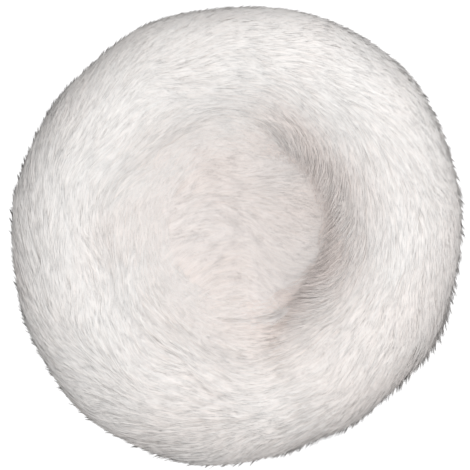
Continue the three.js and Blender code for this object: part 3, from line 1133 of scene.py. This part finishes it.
def makeWeave():
    # two sets of waves at right angles, the higher one on top; Height is 0 in the gaps and 1 on
    # the threads. Threads is their number to a metre, and a wave turns by 20 radians to a metre
    # at a scale of 1, so the scale is pi / 10 times that
    tree, given, result = newGroup(
        "threadWeave",
        [("Place", "NodeSocketVector", (0, 0, 0)), ("Threads", "NodeSocketFloat", 900.0)],
        [("Height", "NodeSocketFloat"), ("Worn", "NodeSocketFloat")],
    )
    place = given.outputs["Place"]
    ribs = []
    for direction in ("X", "Y"):
        wave = tree.nodes.new("ShaderNodeTexWave")
        wave.bands_direction = direction
        wave.inputs["Distortion"].default_value = 0.6
        wave.inputs["Detail"].default_value = 1.0
        wave.inputs["Detail Scale"].default_value = 0.4
        tree.links.new(place, wave.inputs["Vector"])
        scale = mathNode(tree, "MULTIPLY", given.outputs["Threads"], math.pi / 10)
        tree.links.new(scale, wave.inputs["Scale"])
        ribs.append(wave.outputs["Fac"])
    tree.links.new(mathNode(tree, "MAXIMUM", ribs[0], ribs[1]), result.inputs["Height"])
    tree.links.new(noiseNode(tree, place, clothWear["scale"], clothWear["detail"]), result.inputs["Worn"])
    return tree


threadWeave = makeWeave()


def clothMaterial(name, look):
    # woven cloth: darker in the gaps of the weave and a little uneven over the whole
    material, tree, shader = newMaterial(name)
    shader.inputs["Roughness"].default_value = look["roughness"]
    shader.inputs["Specular IOR Level"].default_value = 0.25
    place = tree.nodes.new("ShaderNodeTexCoord")
    weave = tree.nodes.new("ShaderNodeGroup")
    weave.node_tree = threadWeave
    weave.inputs["Threads"].default_value = look["threads"]
    tree.links.new(place.outputs["Object"], weave.inputs["Place"])
    gap = tuple(c * look["gapShade"] for c in look["colour"][:3]) + (1,)
    thread = mixColour(tree, weave.outputs["Height"], gap, look["colour"])
    worn = mixColour(tree, weave.outputs["Worn"], clothWear["dull"], clothWear["bright"])
    tree.links.new(mixColour(tree, 1.0, thread, worn, "MULTIPLY"), shader.inputs["Base Color"])
    addBump(tree, shader, weave.outputs["Height"], 0.5, 0.0003)
    return material


def rubberMaterial():
    # printed rubber of the grip dots: a little uneven in colour and gloss, with fine grain
    material, tree, shader = newMaterial("gripRubber")
    place = tree.nodes.new("ShaderNodeTexCoord")
    grain = noiseNode(tree, place.outputs["Object"], rubberLook["grain"], 2)
    colour = mixColour(tree, grain, rubberLook["dark"], rubberLook["pale"])
    tree.links.new(colour, shader.inputs["Base Color"])
    gloss = mathNode(tree, "ADD", mathNode(tree, "MULTIPLY", grain, 0.3), 0.3)
    tree.links.new(gloss, shader.inputs["Roughness"])
    addBump(tree, shader, grain, 0.2, 0.0002)
    return material


# Base cloth: level under the bed, drawn up along the well seam, its edge turned up inside the hem,
# with printed grip dots and two rounds of stitches below

basePanel = {
    "level": 0.0008,
    "thickness": 0.002,
    "seamGap": 0.0045,
    "turnUp": 0.010,
    "bend": 0.0025,
    "lean": math.radians(28),
    "grooveWidth": 0.005,
    "grooveDepth": 0.0008,
    "pucker": 0.00025,
    "puckerReach": 0.012,
    "puckersToGather": 9,
    "turns": 360,
}

gripDot = {
    "across": 0.008,
    "height": 0.0011,
    "shoulder": 0.0003,
    "footShare": 0.8,
    "pitch": 0.034,
    "margin": 0.004,
    "sides": 14,
}

stitch = {
    "length": 0.0033,
    "pitch": 0.0043,
    "thickness": 0.0007,
    "rimInset": 0.006,
    "sides": 5,
    "along": (-0.5, -0.32, 0.0, 0.32, 0.5),  # shares of the length, with the height of each below
    "dip": (0.0006, 0.0, -0.0001, 0.0, 0.0006),
    "widths": (0.9, 1.0, 0.9),
}


def wellSeamReach(turn):
    return wellReach(turn, bed["nestAcross"] / 2) + bed["seamSetback"]


def baseRimReach(turn):
    return outlineReach(turn) - pinch(turn) - bed["hemInset"] - basePanel["seamGap"]


def rimStitchReach(turn):
    return baseRimReach(turn) - stitch["rimInset"]


def makeBaseCloth(material):
    # the middle of the cloth goes out level, round a bend and up at a lean; its two faces lie half
    # a thickness to either side, and a bell-shaped groove with small puckers follows the well seam
    turn = np.arange(basePanel["turns"]) / basePanel["turns"] * wholeTurn
    half = basePanel["thickness"] / 2
    rim = baseRimReach(turn)[:, None]
    seam = wellSeamReach(turn)[:, None]
    flatEnd = rim - half - basePanel["bend"]
    flat = np.concatenate([np.linspace(0.01, 0.78, 26), np.linspace(0.8, 1, 12)])[None, :] * flatEnd
    nearSeam = seam + basePanel["grooveWidth"] * np.linspace(-1.5, 1.5, 13)[None, :]
    level = np.sort(np.concatenate([flat, nearSeam], axis=1), axis=1)
    groove = basePanel["grooveDepth"] * bell(level - seam, basePanel["grooveWidth"] / 2)
    puckers = basePanel["puckersToGather"] * bed["gatherCount"]
    pucker = np.cos(puckers * turn)[:, None] * bell(level - seam, basePanel["puckerReach"])
    levelRise = groove + np.abs(basePanel["pucker"] * pucker)
    bendTurn = math.pi / 2 - basePanel["lean"]
    angle = np.linspace(0, bendTurn, 7)[None, 1:]
    bendReach = flatEnd + basePanel["bend"] * np.sin(angle)
    bendRise = basePanel["bend"] * (1 - np.cos(angle)) + 0 * rim
    upwards = np.linspace(0, basePanel["turnUp"], 5)[None, 1:]
    upReach = bendReach[:, -1:] + upwards * math.sin(basePanel["lean"])
    upRise = bendRise[:, -1:] + upwards * math.cos(basePanel["lean"])
    reach = np.concatenate([level, bendReach, upReach], axis=1)
    rise = np.concatenate([levelRise, bendRise, upRise], axis=1)
    tilt = np.concatenate([0 * level, angle + 0 * rim, bendTurn + 0 * upReach], axis=1)
    middle = basePanel["level"] + half

    def faceAt(side):
        out = reach + side * half * np.sin(tilt)
        high = middle + rise - side * half * np.cos(tilt)
        return np.stack([out * np.cos(turn)[:, None], out * np.sin(turn)[:, None], high], axis=-1)

    grid = np.concatenate([faceAt(-1), faceAt(1)[:, ::-1]], axis=1)
    poles = [[0, 0, middle + half], [0, 0, middle - half]]
    corners = np.concatenate([grid.reshape(-1, 3), poles])
    faces = cappedFaces(grid.shape[0], grid.shape[1])
    piece = newPiece("baseCloth", corners, faces, material)
    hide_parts("base_panel")
    return piece


def makeGripDots(material):
    # rows a pitch apart, every second one moved by half a pitch, as far as rim and groove allow;
    # a dot is a flat round with a small shoulder
    pitch = gripDot["pitch"]
    row, column = (g.ravel() for g in np.meshgrid(np.arange(-9, 10), np.arange(-8, 9), indexing="ij"))
    x = column * pitch + np.where(row % 2 == 0, 0, pitch / 2)
    y = row * pitch * math.sin(math.pi / 3)
    turn = np.arctan2(y, x)
    reach = np.hypot(x, y)
    dotHalf = gripDot["across"] / 2
    clear = np.abs(reach - wellSeamReach(turn)) - basePanel["grooveWidth"] / 2 - dotHalf
    kept = (reach < baseRimReach(turn) - gripDot["margin"] - dotHalf) & (clear > 0)
    centres = np.stack([x[kept], y[kept], 0 * x[kept]], axis=-1)
    sides = gripDot["sides"]
    angle = np.arange(sides) / sides * wholeTurn
    grid = np.zeros((sides, 3, 3))
    share = np.array([1.0, 1.0, gripDot["footShare"]])
    grid[..., 0] = dotHalf * np.cos(angle)[:, None] * share
    grid[..., 1] = dotHalf * np.sin(angle)[:, None] * share
    grid[..., 2] = [gripDot["height"], gripDot["shoulder"], 0]
    dot = np.concatenate([grid.reshape(-1, 3), [[0, 0, gripDot["height"]], [0, 0, 0]]])
    corners = (dot[None] + centres[:, None]).reshape(-1, 3)
    faces = repeatedFaces(cappedFaces(sides, 3), len(dot), len(centres))
    print("grip dots:", len(centres))
    return newPiece("gripDots", corners, faces, material, smooth=False)


def makeStitches(name, reachAt, level, material):
    # a round of stitches: each a short thread, bowed down at its middle and dipping into the cloth
    # at its ends
    turn = np.linspace(0, wholeTurn, 2000)
    line = np.stack([reachAt(turn) * np.cos(turn), reachAt(turn) * np.sin(turn)], axis=-1)
    length = np.concatenate([[0], np.cumsum(np.linalg.norm(np.diff(line, axis=0), axis=1))])
    whole = length[-1]
    count = int(whole / stitch["pitch"])
    along = np.array(stitch["along"]) * stitch["length"]
    thick = np.array(stitch["widths"])[None, None, :, None] * stitch["thickness"] / 2
    at = (np.arange(count) + 0.5)[:, None] / count * whole + along[None, :]
    x, y = (np.interp(at, length, line[:, axis], period=whole) for axis in (0, 1))
    spine = np.stack([x, y, level + np.array(stitch["dip"]) + 0 * at], axis=-1)
    side = unit(np.cross(spine[:, -1] - spine[:, 0], skyward))[:, None, None, :]
    angle = (np.arange(stitch["sides"]) / stitch["sides"] * wholeTurn)[None, :, None, None]
    rings = spine[:, None, 1:4] + thick * (side * np.cos(angle) + skyward * np.sin(angle))
    ends = spine[:, [0, -1]]
    corners = np.concatenate([rings.reshape(count, -1, 3), ends], axis=1)
    faces = repeatedFaces(cappedFaces(stitch["sides"], 3), corners.shape[1], count)
    print(name, count, "stitches")
    return newPiece(name, corners.reshape(-1, 3), faces, material)


ringSkin(clothMaterial("ringBacking", ringBackingLook))
cushionSkin(clothMaterial("cushionBacking", cushionBackingLook))
makeRingPile(pileMaterial("ringPlush", ringPileLook))
makeCushionPile(pileMaterial("cushionPlush", cushionPileLook))
panel = makeBaseCloth(clothMaterial("baseWeave", baseClothLook))
dots = makeGripDots(rubberMaterial())
thread = clothMaterial("sewingThread", threadLook)
seamStitches = makeStitches("wellSeamStitches", wellSeamReach, basePanel["level"] + 0.0006, thread)
rimStitches = makeStitches("rimStitches", rimStitchReach, basePanel["level"] - 0.0001, thread)


# Floor, light and camera

studio = {
    "floorSize": 6.0,
    "lamps": (
        {"name": "keyLamp", "power": 23, "size": 1.6, "heading": 235, "elevation": 86, "distance": 2.6},
        {"name": "lowLamp", "power": 23, "size": 1.8, "heading": 45, "elevation": 20, "distance": 2.6},
    ),
    "skyLevel": 0.65,
    "floorColour": (0.18, 0.18, 0.18, 1),
    "floorSeenColour": (0.3, 0.3, 0.3, 1),
    "floorSeen": 0.9,
    "cameraHeading": 45,
    "cameraElevation": 81,
    "cameraDistance": 1.6,
    "lens": 110,
    "target": (0.0, 0.0, 0.08),
}


def direction(heading, elevation):
    # a unit vector from degrees round +Z and degrees up
    heading = math.radians(heading)
    elevation = math.radians(elevation)
    level = math.cos(elevation)
    return Vector((math.cos(heading) * level, math.sin(heading) * level, math.sin(elevation)))


def makeFloor():
    # the floor takes the bed's shadow, and what sees it directly sees it lit to near white
    half = studio["floorSize"] / 2
    corners = [(-half, -half, 0), (half, -half, 0), (half, half, 0), (-half, half, 0)]
    floor = bpy.data.meshes.new("floor")
    floor.from_pydata(corners, [], [(0, 1, 2, 3)])
    ground = bpy.data.objects.new("floor", floor)
    bpy.context.scene.collection.objects.link(ground)
    material, tree, shader = newMaterial("paperFloor")
    shader.inputs["Roughness"].default_value = 0.9
    lightPath = tree.nodes.new("ShaderNodeLightPath")
    seen = mathNode(tree, "MAXIMUM", lightPath.outputs["Is Camera Ray"], lightPath.outputs["Is Glossy Ray"])
    seen = mathNode(tree, "MAXIMUM", seen, lightPath.outputs["Is Transmission Ray"])
    paper = mixColour(tree, seen, studio["floorColour"], studio["floorSeenColour"])
    tree.links.new(paper, shader.inputs["Base Color"])
    shader.inputs["Emission Color"].default_value = (1, 1, 1, 1)
    glow = mathNode(tree, "MULTIPLY", seen, studio["floorSeen"])
    tree.links.new(glow, shader.inputs["Emission Strength"])
    floor.materials.append(material)


def makeLight():
    world = bpy.data.worlds.new("studioAir")
    world.use_nodes = True
    bpy.context.scene.world = world
    tree = world.node_tree
    sky = tree.nodes["Background"]
    sky.inputs["Color"].default_value = (1, 1, 1, 1)
    lightPath = tree.nodes.new("ShaderNodeLightPath")
    level = mathNode(tree, "MULTIPLY", lightPath.outputs["Is Camera Ray"], 1 - studio["skyLevel"])
    tree.links.new(mathNode(tree, "ADD", level, studio["skyLevel"]), sky.inputs["Strength"])
    for each in studio["lamps"]:
        lamp = bpy.data.lights.new(each["name"], "AREA")
        lamp.energy = each["power"]
        lamp.size = each["size"]
        holder = bpy.data.objects.new(each["name"], lamp)
        away = direction(each["heading"], each["elevation"])
        holder.location = away * each["distance"]
        holder.rotation_euler = (-away).to_track_quat("-Z", "Y").to_euler()
        bpy.context.scene.collection.objects.link(holder)


def makeCamera():
    # above the bed, a little towards the upper right; the image's up is +Y
    target = Vector(studio["target"])
    back = direction(studio["cameraHeading"], studio["cameraElevation"])
    data = bpy.data.cameras.new("camera")
    data.lens = studio["lens"]
    data.sensor_width = 36
    camera = bpy.data.objects.new("camera", data)
    right = (-back).cross(Vector((0, 1, 0))).normalized()
    turned = Matrix((right, right.cross(-back), back)).transposed().to_4x4()
    camera.matrix_world = Matrix.Translation(target + back * studio["cameraDistance"]) @ turned
    bpy.context.scene.collection.objects.link(camera)
    bpy.context.scene.camera = camera


makeFloor()
makeLight()
makeCamera()
bpy.context.scene.view_settings.view_transform = "Standard"
